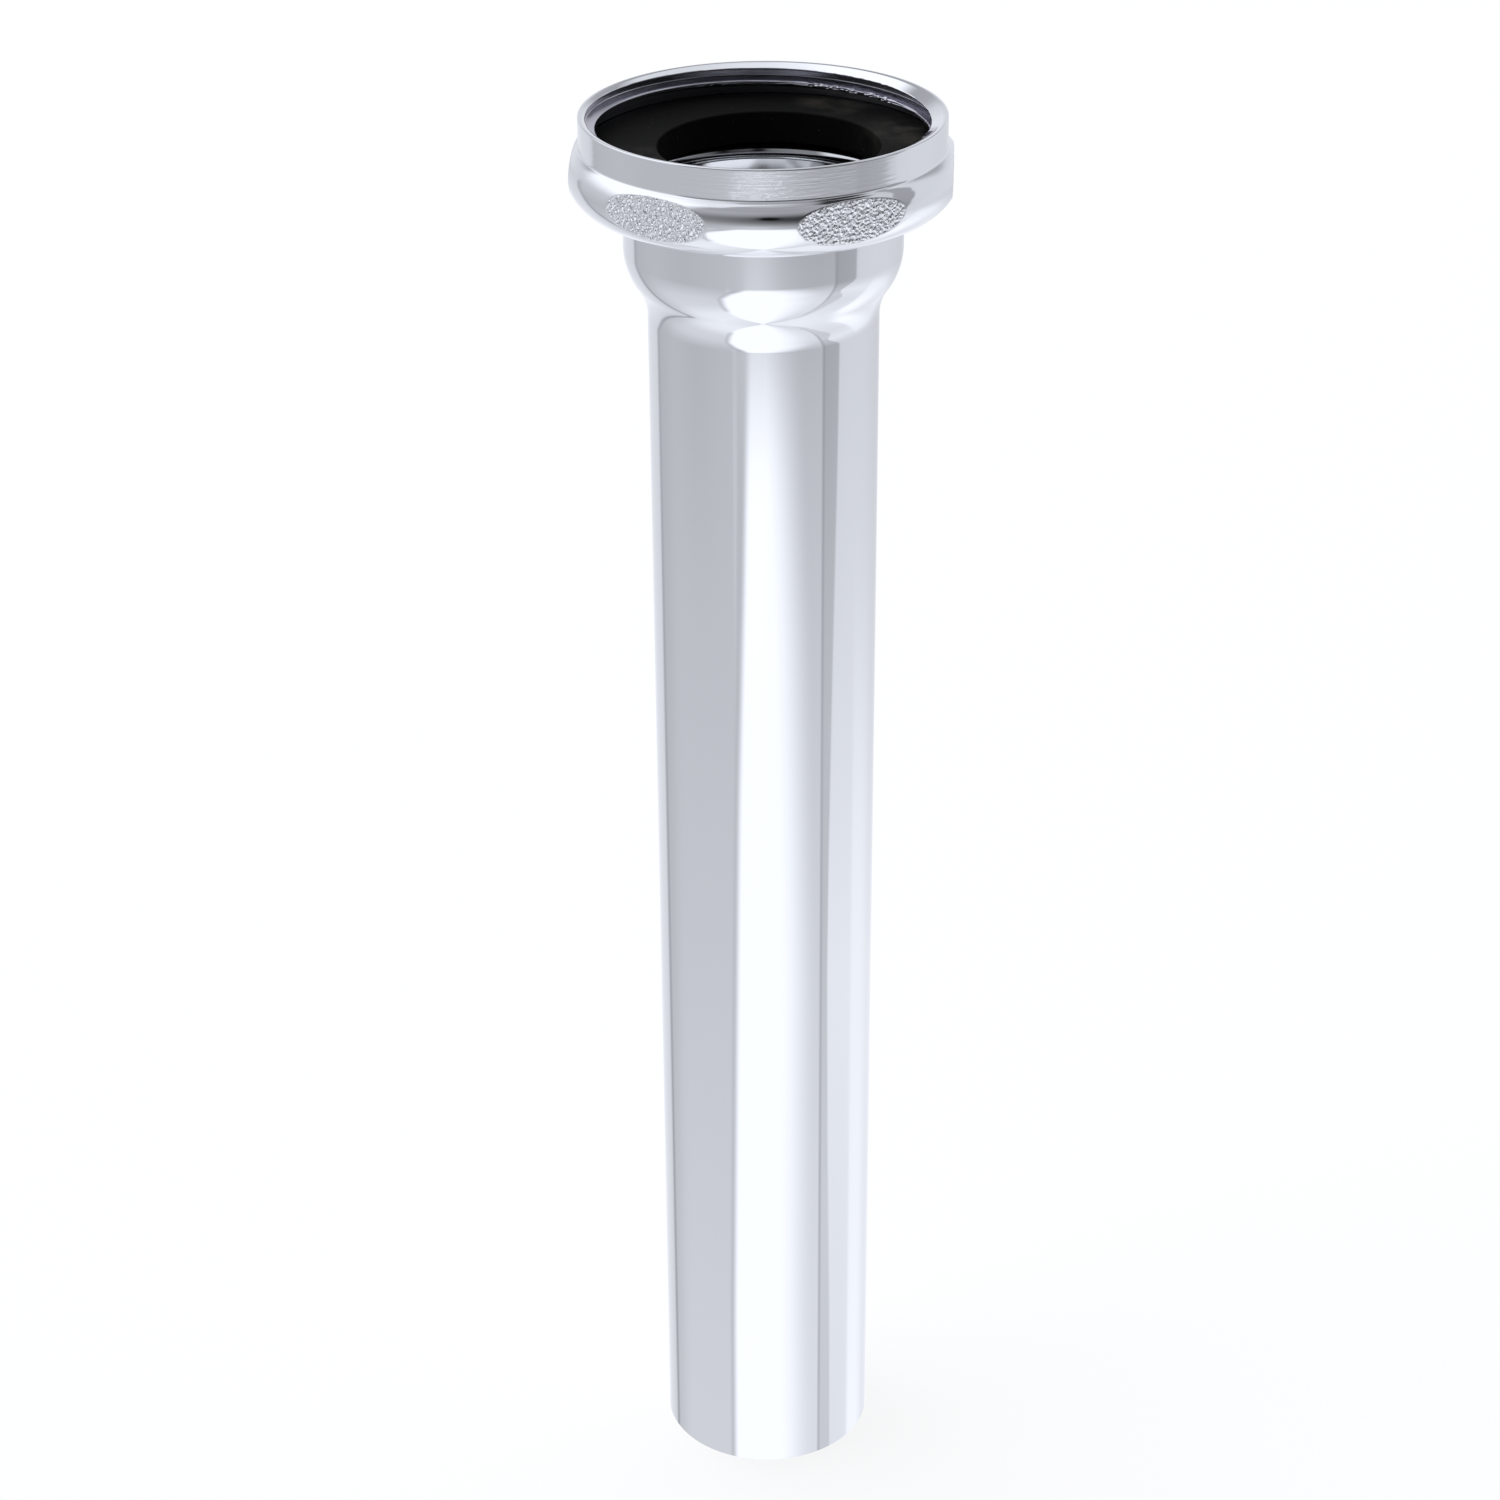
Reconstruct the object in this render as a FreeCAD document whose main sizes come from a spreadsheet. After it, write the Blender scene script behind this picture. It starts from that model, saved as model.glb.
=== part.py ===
"""Basin waste tail pipe: a drawn tube with a flanged bell, its captive coupling nut and its washer.

Millimetres, +Z up along the pipe. The origin is the centre of the pipe's plain lower end.
"""

import FreeCAD
import Part

import math
import os
from types import SimpleNamespace

import Sketcher

# The points of an edge in a sketch, and the sketch's own axis and origin
START, END, CENTRE = 1, 2, 3
AXIS, ORIGIN = -1, (-1, 1)

SIZES = {
    # The pipe: a 1-1/4 in tube, belled to 1-1/2 in under a turned-out flange
    "tube_d": 31.75,
    "wall": 1.2,
    "pipe_length": 205.6,
    "bell_step": 3.175,
    "bell_length": 9.25,
    "shoulder_r": 9.2,
    "neck_r": 7.9,
    "flange_width": 3.0,
    "flange_r": 1.2,
    "mouth_r": 3.2,
    "end_chamfer": 0.2,
    # The nut: its thread passes the flange, and its floor passes the bell but not the flange
    "hole_clear": 0.15,
    "floor_t": 1.85,
    "nut_play": 0.4,
    "flange_clear": 0.37,
    "thread_pitch": 2.309,
    "thread_length": 4.3,
    "band_wall": 0.83,
    "lip_w": 0.5,
    "bulge_rise": 1.89,
    "bulge_level": 5.07,
    "bulge_top_r": 3.26,
    "foot_inset": 3.8,
    "pad_rise": 0.71,
    "pad_count": 6,
    "corner_r": 0.35,
    "foot_r": 0.7,
    "lip_r": 0.2,
    "hole_chamfer": 0.6,
    "nut_turn": -3.4,
    # The washer: flat rubber, in the groove at the foot of the thread
    "washer_t": 4.4,
    "washer_bore": 30.0,
    "washer_r": 0.25,
    "seat_gap": 0.05,
}

# The depth of a 55 degree pipe thread, as a share of its pitch
THREAD_DEPTH = 0.6403


class Size:
    """A size with both its value and the sheet expression that it follows."""

    def __init__(self, value, text):
        self.value = value
        self.text = text

    @staticmethod
    def of(thing):
        """A plain number as a size."""
        return thing if isinstance(thing, Size) else Size(thing, str(thing))

    def __add__(self, other):
        other = Size.of(other)
        return Size(self.value + other.value, f"({self.text} + {other.text})")

    def __sub__(self, other):
        other = Size.of(other)
        return Size(self.value - other.value, f"({self.text} - {other.text})")

    def __mul__(self, other):
        other = Size.of(other)
        return Size(self.value * other.value, f"({self.text} * {other.text})")

    def __truediv__(self, other):
        other = Size.of(other)
        return Size(self.value / other.value, f"({self.text} / {other.text})")


def named_sizes():
    """Every driving size, and the radii and levels at which the pieces meet."""
    s = SimpleNamespace(**{name: Size(value, f"Sizes.{name}") for name, value in SIZES.items()})
    s.tube_radius = s.tube_d / 2
    s.bell_radius = s.tube_radius + s.bell_step
    s.bell_level = s.pipe_length - s.bell_length
    s.flange_radius = s.bell_radius + s.flange_width
    s.hole_radius = s.bell_radius + s.hole_clear
    s.minor_radius = s.flange_radius + s.flange_clear
    s.major_radius = s.minor_radius + s.thread_pitch * THREAD_DEPTH
    s.band_radius = s.major_radius + s.band_wall
    s.lip_radius = s.band_radius - s.lip_w
    s.bulge_radius = s.band_radius + s.bulge_rise
    s.foot_radius = s.bulge_radius - s.foot_inset
    s.pad_radius = s.band_radius + s.pad_rise
    s.washer_radius = s.major_radius - s.seat_gap
    s.ledge_level = s.floor_t + s.nut_play + s.wall + s.washer_t + s.seat_gap * 2
    s.nut_height = s.ledge_level + s.thread_length
    s.washer_base = s.pipe_length + s.seat_gap
    s.nut_base = s.washer_base + s.washer_t + s.seat_gap - s.ledge_level
    return s


def make_sheet(doc):
    """The spreadsheet of driving sizes, one named cell each."""
    sheet = doc.addObject("Spreadsheet::Sheet", "Sizes")
    for row, (name, value) in enumerate(SIZES.items(), start=1):
        sheet.set(f"A{row}", name)
        sheet.set(f"B{row}", str(value))
        sheet.setAlias(f"B{row}", name)
    doc.recompute()
    return sheet


class Outline:
    """A sketch on one of its body's origin planes, drawn in place and then held by named sizes."""

    def __init__(self, body, name, plane):
        self.sketch = body.newObject("Sketcher::SketchObject", name)
        role = next(f for f in body.Origin.OriginFeatures if f.Role == plane)
        self.sketch.AttachmentSupport = [(role, "")]
        self.sketch.MapMode = "FlatFace"

    def line(self, start, end):
        """A line between two (across, up) points."""
        segment = Part.LineSegment(FreeCAD.Vector(*start, 0), FreeCAD.Vector(*end, 0))
        return self.sketch.addGeometry(segment, False)

    def arc(self, centre, radius, start_deg, end_deg):
        """An arc drawn anticlockwise from one angle to the other."""
        circle = Part.Circle(FreeCAD.Vector(*centre, 0), FreeCAD.Vector(0, 0, 1), radius)
        arc = Part.ArcOfCircle(circle, math.radians(start_deg), math.radians(end_deg))
        return self.sketch.addGeometry(arc, False)

    def circle(self, radius):
        """A circle about the origin, of a held radius."""
        ring = Part.Circle(FreeCAD.Vector(0, 0, 0), FreeCAD.Vector(0, 0, 1), radius.value)
        edge = self.sketch.addGeometry(ring, False)
        self.hold("Coincident", edge, CENTRE, *ORIGIN)
        self.size(radius, "Radius", edge)

    def chain(self, points):
        """Straight lines through the points, joined end to end."""
        edges = [self.line(*ends) for ends in zip(points, points[1:])]
        for before, after in zip(edges, edges[1:]):
            self.hold("Coincident", before, END, after, START)
        return edges

    def hold(self, kind, *where):
        """A constraint with no size, such as Tangent or Vertical."""
        self.sketch.addConstraint(Sketcher.Constraint(kind, *where))

    def size(self, size, kind, *where):
        """A constraint that follows a named size."""
        index = self.sketch.addConstraint(Sketcher.Constraint(kind, *where, size.value))
        self.sketch.setExpression(f"Constraints[{index}]", size.text)

    def across(self, size, edge, point):
        """The distance of a point from the upright axis."""
        self.size(size, "DistanceX", *ORIGIN, edge, point)

    def level(self, size, edge, point):
        """The height of a point above the body's base."""
        self.size(size, "DistanceY", *ORIGIN, edge, point)


def new_body(doc, label):
    """An empty body whose label names the piece."""
    body = doc.addObject("PartDesign::Body", label.title().replace("_", ""))
    body.Label = label
    return body


def revolve(body, outline, name):
    """Turns an outline a full circle about the body's upright axis."""
    turned = body.newObject("PartDesign::Revolution", name)
    turned.Profile = outline.sketch
    turned.ReferenceAxis = (outline.sketch, ["V_Axis"])
    turned.Angle = 360
    body.Document.recompute()
    return turned


def rings(feature, radius, level):
    """The names of the feature's circular edges of this radius at this height in the body."""
    found = []
    for index, edge in enumerate(feature.Shape.Edges, start=1):
        curve = edge.Curve
        if isinstance(curve, Part.Circle) and abs(curve.Radius - radius) < 0.01:
            if abs(curve.Center.z - level) < 0.01:
                found.append(f"Edge{index}")
    if not found:
        raise ValueError(f"{feature.Label} has no ring of radius {radius} at {level}")
    return found


def dress(body, kind, base, size, edges, name):
    """A Fillet or Chamfer of a named size on some edges of the feature below it."""
    feature = body.newObject(f"PartDesign::{kind}", name)
    feature.Base = (base, edges)
    feature.setExpression("Radius" if kind == "Fillet" else "Size", size.text)
    body.Document.recompute()
    return feature


def make_tail_pipe(doc, s):
    """The drawn tube: plain end, neck, round shoulder, bell and flange, whose mouth is well rounded."""
    body = new_body(doc, "tail_pipe")
    tube, bell, flange = s.tube_radius.value, s.bell_radius.value, s.flange_radius.value
    shoulder, neck, lip, mouth = s.shoulder_r.value, s.neck_r.value, s.flange_r.value, s.mouth_r.value
    wall, top, bell_level = s.wall.value, s.pipe_length.value, s.bell_level.value

    # The shoulder's two arcs meet where each has turned through this angle
    bend = math.acos(1 - s.bell_step.value / (shoulder + neck))
    neck_level = bell_level - (shoulder + neck) * math.sin(bend)
    bend = math.degrees(bend)
    neck_centre = (tube + neck, neck_level)
    shoulder_centre = (bell - shoulder, bell_level)
    lip_level = top - wall - lip
    lip_centre = (bell + lip, lip_level)
    mouth_centre = (bell - wall + mouth, top - mouth)

    section = Outline(body, "WallSection", "XZ_Plane")
    tube_out = section.line((tube, 0), (tube, neck_level))
    neck_out = section.arc(neck_centre, neck, 180 - bend, 180)
    shoulder_out = section.arc(shoulder_centre, shoulder, -bend, 0)
    bell_out = section.line((bell, bell_level), (bell, lip_level))
    lip_out = section.arc(lip_centre, lip, 90, 180)
    flange_under, flange_edge, flange_top = section.chain(
        [(bell + lip, top - wall), (flange, top - wall), (flange, top), (mouth_centre[0], top)]
    )
    mouth_in = section.arc(mouth_centre, mouth, 90, 180)
    bell_in = section.line((bell - wall, mouth_centre[1]), (bell - wall, bell_level))
    shoulder_in = section.arc(shoulder_centre, shoulder - wall, -bend, 0)
    neck_in = section.arc(neck_centre, neck + wall, 180 - bend, 180)
    tube_in, plain_end = section.chain([(tube - wall, neck_level), (tube - wall, 0), (tube, 0)])

    for upright in (tube_out, bell_out, flange_edge, bell_in, tube_in):
        section.hold("Vertical", upright)
    for flat in (flange_under, flange_top, plain_end):
        section.hold("Horizontal", flat)
    for smooth in (
        (tube_out, END, neck_out, END),
        (neck_out, START, shoulder_out, START),
        (shoulder_out, END, bell_out, START),
        (bell_out, END, lip_out, END),
        (lip_out, START, flange_under, START),
        (flange_top, END, mouth_in, START),
        (mouth_in, END, bell_in, START),
        (bell_in, END, shoulder_in, END),
        (shoulder_in, START, neck_in, START),
        (neck_in, END, tube_in, START),
    ):
        section.hold("Tangent", *smooth)
    for inside, outside in ((neck_in, neck_out), (shoulder_in, shoulder_out)):
        section.hold("Coincident", inside, CENTRE, outside, CENTRE)
    section.hold("Coincident", plain_end, END, tube_out, START)
    section.hold("PointOnObject", tube_out, START, AXIS)
    section.across(s.tube_radius, tube_out, START)
    section.across(s.bell_radius, bell_out, START)
    section.across(s.flange_radius, flange_edge, START)
    section.level(s.bell_level, bell_out, START)
    section.level(s.pipe_length, flange_edge, END)
    section.size(s.wall, "DistanceY", flange_edge, START, flange_edge, END)
    section.size(s.wall, "DistanceX", bell_in, END, bell_out, START)
    section.size(s.shoulder_r, "Radius", shoulder_out)
    section.size(s.neck_r, "Radius", neck_out)
    section.size(s.flange_r, "Radius", lip_out)
    section.size(s.mouth_r, "Radius", mouth_in)

    drawn = revolve(body, section, "DrawnTube")
    dress(body, "Chamfer", drawn, s.end_chamfer, rings(drawn, tube, 0), "DeburredEnd")
    return body


def make_coupling_nut(doc, s):
    """The captive nut: plain band, round bulge with flat pads, thread bore, groove and floor."""
    body = new_body(doc, "coupling_nut")
    hole, minor, major = s.hole_radius.value, s.minor_radius.value, s.major_radius.value
    band, lip, bulge = s.band_radius.value, s.lip_radius.value, s.bulge_radius.value
    floor, ledge, top = s.floor_t.value, s.ledge_level.value, s.nut_height.value
    foot, inset = s.foot_radius.value, s.foot_inset.value
    widest, over = s.bulge_level.value, s.bulge_top_r.value

    # The bulge's upper arc dies into the band, and its lower arc into the underside
    over_angle = math.acos((band - bulge + over) / over)
    corner_level = widest + over * math.sin(over_angle)
    under = (inset**2 + widest**2) / (2 * inset)
    under_angle = math.asin(widest / under)

    section = Outline(body, "NutSection", "XZ_Plane")
    lower = section.arc((bulge - under, widest), under, -math.degrees(under_angle), 0)
    upper = section.arc((bulge - over, widest), over, 0, math.degrees(over_angle))
    band_side, lip_top, mouth = section.chain(
        [(band, corner_level), (band, top), (lip, top), (minor, top - lip + minor)]
    )
    thread_bore, ledge_face, groove, floor_face, hole_side, underside = section.chain(
        [
            (minor, top - lip + minor), (minor, ledge), (major, ledge),
            (major, floor), (hole, floor), (hole, 0), (foot, 0),
        ]
    )

    for upright in (band_side, thread_bore, groove, hole_side):
        section.hold("Vertical", upright)
    for flat in (lip_top, ledge_face, floor_face, underside):
        section.hold("Horizontal", flat)
    section.hold("Coincident", mouth, END, thread_bore, START)
    section.hold("Coincident", underside, END, lower, START)
    section.hold("Tangent", lower, END, upper, START)
    section.hold("Coincident", upper, END, band_side, START)
    section.hold("Horizontal", lower, CENTRE, lower, END)
    section.hold("PointOnObject", hole_side, END, AXIS)
    section.across(s.hole_radius, hole_side, END)
    section.across(s.foot_radius, lower, START)
    section.across(s.bulge_radius, lower, END)
    section.across(s.band_radius, band_side, END)
    section.across(s.lip_radius, mouth, START)
    section.across(s.minor_radius, thread_bore, END)
    section.across(s.major_radius, groove, END)
    section.level(s.bulge_level, lower, END)
    section.level(s.nut_height, band_side, END)
    section.level(s.ledge_level, groove, START)
    section.level(s.floor_t, groove, END)
    section.size(s.lip_radius - s.minor_radius, "DistanceY", mouth, END, mouth, START)
    section.size(s.bulge_top_r, "Radius", upper)

    turned = revolve(body, section, "TurnedNut")
    corner_rings = rings(turned, band, corner_level)
    turned = dress(body, "Fillet", turned, s.corner_r, corner_rings, "CornerUnderBand")
    turned = dress(body, "Fillet", turned, s.foot_r, rings(turned, foot, 0), "RoundedFoot")
    turned = dress(body, "Fillet", turned, s.lip_r, rings(turned, band, top), "RoundedLip")
    hole_rings = rings(turned, hole, floor)
    turned = dress(body, "Chamfer", turned, s.hole_chamfer, hole_rings, "HoleChamfer")

    # What the lathe left of each side of the hexagon that the nut was pressed as
    outside, half_side = s.bulge_radius + s.bulge_rise, s.bulge_radius / 2
    near, far, half = s.pad_radius.value, outside.value, half_side.value
    pad = Outline(body, "PadSide", "XY_Plane")
    sides = pad.chain([(near, -half), (far, -half), (far, half), (near, half), (near, -half)])
    pad.hold("Coincident", sides[-1], END, sides[0], START)
    for index, side in enumerate(sides):
        pad.hold("Vertical" if index % 2 else "Horizontal", side)
    pad.across(s.pad_radius, sides[0], START)
    pad.across(outside, sides[1], START)
    pad.level(half_side, sides[2], END)
    pad.size(half_side * 2, "DistanceY", sides[1], START, sides[1], END)
    volume = turned.Shape.Volume
    pad_cut = body.newObject("PartDesign::Pocket", "PadCut")
    pad_cut.Profile = pad.sketch
    pad_cut.Reversed = True
    pad_cut.setExpression("Length", s.nut_height.text)
    doc.recompute()
    pads = body.newObject("PartDesign::PolarPattern", "Pads")
    pads.Originals = [pad_cut]
    pads.Axis = (pad.sketch, ["N_Axis"])
    pads.Angle = 360
    pads.setExpression("Occurrences", s.pad_count.text)
    body.Tip = pads
    doc.recompute()
    one_pad, all_pads = volume - pad_cut.Shape.Volume, volume - pads.Shape.Volume
    print(f"one pad cuts {one_pad:.2f} mm3, all {all_pads:.2f} mm3")

    body.setExpression("Placement.Base.z", s.nut_base.text)
    body.setExpression("Placement.Rotation.Angle", s.nut_turn.text)
    return body


def make_sealing_washer(doc, s):
    """The flat rubber ring between the flange and whatever is screwed into the nut."""
    body = new_body(doc, "sealing_washer")
    ring = Outline(body, "RingOutline", "XY_Plane")
    ring.circle(s.washer_radius)
    ring.circle(s.washer_bore / 2)
    flat = body.newObject("PartDesign::Pad", "FlatRing")
    flat.Profile = ring.sketch
    flat.setExpression("Length", s.washer_t.text)
    doc.recompute()
    outer, inner, top = s.washer_radius.value, s.washer_bore.value / 2, s.washer_t.value
    edges = [name for r in (outer, inner) for level in (0, top) for name in rings(flat, r, level)]
    dress(body, "Fillet", flat, s.washer_r, edges, "SoftEdges")
    body.setExpression("Placement.Base.z", s.washer_base.text)
    return body


def check(doc, bodies):
    """Stops before anything is written if a feature failed or a piece isn't one sound solid."""
    doc.recompute()
    failed = [o.Label for o in doc.Objects if {"Invalid", "Error"} & set(o.State)]
    loose = [o.Label for o in doc.findObjects("Sketcher::SketchObject") if not o.FullyConstrained]
    bad = [b.Label for b in bodies if b.Shape.isNull() or not b.Shape.isValid() or len(b.Shape.Solids) != 1]
    if failed or loose or bad:
        raise RuntimeError(f"failed features {failed}, loose sketches {loose}, bad pieces {bad}")


def main():
    doc = FreeCAD.newDocument("BasinWasteTailPipe")
    make_sheet(doc)
    s = named_sizes()
    bodies = [maker(doc, s) for maker in (make_tail_pipe, make_coupling_nut, make_sealing_washer)]
    check(doc, bodies)
    os.makedirs("parts", exist_ok=True)
    for body in bodies:
        body.Shape.exportStep(f"parts/{body.Label}.step")
        box = body.Shape.optimalBoundingBox()
        print(f"{body.Label}: {body.Shape.Volume:.1f} mm3, {box.XLength:.2f} mm across,"
              f" from {box.ZMin:.2f} to {box.ZMax:.2f} mm up")


main()
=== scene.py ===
"""Looks of the basin waste tail pipe: plated tube, coupling nut with thread and grained pads, washer.

Sizes are in millimetres and angles in degrees, unless a name says otherwise. The pipe stands on its plain
end, +Z up, and the photograph is taken from the -Y side.
"""

import logging
import math
from dataclasses import dataclass, field
from enum import IntEnum
from typing import Any, Protocol

import bpy
import numpy as np
from mathutils import Euler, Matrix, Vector, noise


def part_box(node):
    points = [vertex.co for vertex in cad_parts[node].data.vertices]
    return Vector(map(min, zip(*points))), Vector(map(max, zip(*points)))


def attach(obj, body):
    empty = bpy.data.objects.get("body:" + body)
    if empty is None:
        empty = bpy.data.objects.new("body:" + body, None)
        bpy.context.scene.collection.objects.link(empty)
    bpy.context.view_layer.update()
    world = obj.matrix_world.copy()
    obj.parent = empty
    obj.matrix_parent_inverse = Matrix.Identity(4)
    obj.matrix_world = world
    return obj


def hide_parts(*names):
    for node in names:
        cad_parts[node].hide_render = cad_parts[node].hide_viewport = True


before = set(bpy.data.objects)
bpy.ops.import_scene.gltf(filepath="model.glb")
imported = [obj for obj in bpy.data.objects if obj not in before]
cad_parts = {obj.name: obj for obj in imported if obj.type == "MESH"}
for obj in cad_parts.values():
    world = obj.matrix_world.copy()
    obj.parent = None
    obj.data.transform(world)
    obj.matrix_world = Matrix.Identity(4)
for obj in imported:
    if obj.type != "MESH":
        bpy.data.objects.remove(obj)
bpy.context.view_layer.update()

MM = 0.001

# A spot is (x, y, z, reach). A run is one value for every elevation of the light tent, or a row of
# (elevation, value) corners, the lowest first.
Pair = tuple[float, float]
Triple = tuple[float, float, float]
Spot = tuple[float, float, float, float]
Run = float | tuple[Pair, ...]

WHITE: Triple = (1.0, 1.0, 1.0)

log = logging.getLogger("tail_pipe")


class Tooling(IntEnum):
    """How a face was worked."""

    POLISHED = 0
    TURNED = 1
    CAST = 2
    BORE = 3
    MOULDED = 4


class Signal:
    """One changing value of a shader, which Python's own operators work on."""

    def __init__(self, shader: "Shader", node: bpy.types.Node, output: str | int = 0) -> None:
        """Wraps one output of a node."""
        self.shader, self.node, self.output = shader, node, output

    @property
    def socket(self) -> bpy.types.NodeSocket:
        """The output socket itself."""
        return self.node.outputs[self.output]

    def __add__(self, other: "Signal | float") -> "Signal":
        """The sum."""
        return self.shader.math("ADD", self, other)

    def __sub__(self, other: "Signal | float") -> "Signal":
        """The difference."""
        return self.shader.math("SUBTRACT", self, other)

    def __rsub__(self, other: float) -> "Signal":
        """The difference from a number."""
        return self.shader.math("SUBTRACT", other, self)

    def __mul__(self, other: "Signal | float") -> "Signal":
        """The product."""
        return self.shader.math("MULTIPLY", self, other)

    __radd__ = __add__
    __rmul__ = __mul__

    def rise(self, start: float, end: float) -> "Signal":
        """Goes smoothly from 0 to 1 between two values.

        Args:
            start: The value where the result is still 0.
            end: The value where it has come to 1, which may be the lower of the two.

        Returns:
            The result as a signal.
        """
        if start > end:
            return 1 - self.rise(end, start)
        settings = {"interpolation_type": "SMOOTHSTEP"}
        inputs = {"Value": self, "From Min": start, "From Max": end}
        return self.shader.node("ShaderNodeMapRange", settings, inputs)

    def swing(self, reach: float) -> "Signal":
        """Goes from -reach to reach as this signal goes from 0 to 1."""
        return (self - 0.5) * (2 * reach)


@dataclass(frozen=True)
class Speckle:
    """A soft random pattern.

    The scale is in blotches to the metre, detail and roughness say how much finer structure they have, and
    a stretch below 1 draws them out along that axis.
    """

    scale: float
    detail: float
    roughness: float = 0.5
    stretch: Triple | None = None


class Shader:
    """The node tree of a material or a world, filled one node at a time."""

    # The numbers of the Mix node's colour sockets.
    MIX_LOW = 6
    MIX_HIGH = 7
    MIX_RESULT = 2
    # The share of its reach in which a spot is whole.
    SPOT_CORE = 0.3

    def __init__(self, owner: bpy.types.Material | bpy.types.World) -> None:
        """Empties the owner's tree and keeps it.

        Args:
            owner: What the tree belongs to.
        """
        owner.use_nodes = True
        self.tree = owner.node_tree
        self.tree.nodes.clear()

    def node(self, kind: str, settings: dict[str, Any], inputs: dict[str | int, Any],
             output: str | int = 0) -> Signal:
        """Adds a node.

        Args:
            kind: The node's type.
            settings: Its properties, which are set first.
            inputs: What its sockets take, by name or number: a Signal, a number, a vector or a colour.
            output: Which output the signal reads.

        Returns:
            The node's output as a signal.
        """
        made = self.tree.nodes.new(kind)
        for name, value in settings.items():
            setattr(made, name, value)
        for name, value in inputs.items():
            if isinstance(value, Signal):
                self.tree.links.new(value.socket, made.inputs[name])
            else:
                made.inputs[name].default_value = value
        return Signal(self, made, output)

    def math(self, operation: str, first: Signal | float, second: Signal | float) -> Signal:
        """A Math node of two values."""
        return self.node("ShaderNodeMath", {"operation": operation}, {0: first, 1: second})

    def vector_math(self, operation: str, first: Signal, second: Triple, output: str = "Vector") -> Signal:
        """A Vector Math node of a vector and a fixed one."""
        return self.node("ShaderNodeVectorMath", {"operation": operation}, {0: first, 1: second}, output)

    def mix(self, share: Signal, low: Any, high: Any) -> Signal:
        """A colour between two colours, each plain or a signal."""
        inputs = {"Factor": share, self.MIX_LOW: low, self.MIX_HIGH: high}
        return self.node("ShaderNodeMix", {"data_type": "RGBA"}, inputs, self.MIX_RESULT)

    def place(self) -> Signal:
        """The point on the piece, in metres, in the piece's own frame."""
        return self.node("ShaderNodeTexCoord", {}, {}, "Object")

    def noise(self, place: Signal, speckle: Speckle) -> Signal:
        """Adds a soft random pattern.

        Args:
            place: The point on the piece.
            speckle: What the pattern is like.

        Returns:
            A signal between about 0 and 1.
        """
        if speckle.stretch:
            place = self.vector_math("MULTIPLY", place, speckle.stretch)
        inputs = {"Vector": place, "Scale": speckle.scale, "Detail": speckle.detail}
        return self.node("ShaderNodeTexNoise", {}, inputs | {"Roughness": speckle.roughness})

    def pebbles(self, place: Signal, scale: float, smoothness: float) -> Signal:
        """The distance from the nearest of many scattered points, rounded where two points are as near."""
        inputs = {"Vector": place, "Scale": scale, "Smoothness": smoothness}
        return self.node("ShaderNodeTexVoronoi", {"feature": "SMOOTH_F1"}, inputs)

    def near(self, place: Signal, spots: tuple[Spot, ...]) -> Signal:
        """Finds what lies in some spots that stand clear of each other.

        Args:
            place: The point on the piece.
            spots: The spots, at least one of them.

        Returns:
            A signal that is 0 beyond the spots' reach and 1 at their cores.
        """
        inside = []
        for *centre, reach in spots:
            middle = tuple(part * MM for part in centre)
            distance = self.vector_math("DISTANCE", place, middle, "Value")
            inside.append(distance.rise(reach * MM, reach * MM * self.SPOT_CORE))
        return sum(inside[1:], inside[0])

    def bump(self, height: Signal, depth: float, under: Signal | None = None) -> Signal:
        """A shading normal that follows a height, over another such normal if there is one."""
        inputs = {"Height": height, "Distance": depth * MM, "Strength": 1.0}
        return self.node("ShaderNodeBump", {}, inputs | ({"Normal": under} if under else {}))

    def surface(self, inputs: dict[str, Any]) -> None:
        """Ends the tree in one Principled surface."""
        shade = self.node("ShaderNodeBsdfPrincipled", {}, inputs)
        self.node("ShaderNodeOutputMaterial", {}, {"Surface": shade})


def rgba(colour: Triple, shade: float = 1.0) -> tuple[float, ...]:
    """An opaque colour, made darker or paler by a factor."""
    return (*(part * shade for part in colour), 1.0)


class Finish(Protocol):
    """What gives a face its look."""

    def make(self) -> bpy.types.Material:
        """Builds the material."""


class Marks(Protocol):
    """What the work has left on the brass, and the plate follows."""

    def normal(self, shader: Shader, place: Signal) -> Signal:
        """The shading normal at each place on the piece."""


@dataclass(frozen=True)
class PolishMarks:
    """Long shallow waves down the metal, as polishing a drawn tube leaves them."""

    waves: Speckle = Speckle(120.0, 1.0, stretch=(1.0, 1.0, 0.12))
    depth: float = 0.004

    def normal(self, shader: Shader, place: Signal) -> Signal:
        """The shading normal at each place on the piece."""
        return shader.bump(shader.noise(place, self.waves), self.depth)


@dataclass(frozen=True)
class TurningMarks:
    """Fine rings round the axis, as the lathe leaves them, torn here and there into short flecks."""

    rings: Speckle = Speckle(3000.0, 2.0, roughness=0.6, stretch=(0.02, 0.02, 1.0))
    ring_depth: float = 0.014
    flecks: Speckle = Speckle(2600.0, 1.0, stretch=(0.25, 0.25, 1.0))
    fleck_depth: float = 0.0084

    def normal(self, shader: Shader, place: Signal) -> Signal:
        """The shading normal at each place on the piece."""
        rings = shader.bump(shader.noise(place, self.rings), self.ring_depth)
        return shader.bump(shader.noise(place, self.flecks), self.fleck_depth, under=rings)


@dataclass(frozen=True)
class CastGrain:
    """The pebbled skin of a casting, on top of the grains in the mesh."""

    scale: float = 2200.0
    smoothness: float = 0.35
    depth: float = 0.27
    crumbs: Speckle = Speckle(5200.0, 1.0)
    crumb_depth: float = 0.081

    def normal(self, shader: Shader, place: Signal) -> Signal:
        """The shading normal at each place on the piece."""
        skin = shader.bump(shader.pebbles(place, self.scale, self.smoothness), -self.depth)
        return shader.bump(shader.noise(place, self.crumbs), self.crumb_depth, under=skin)


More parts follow.
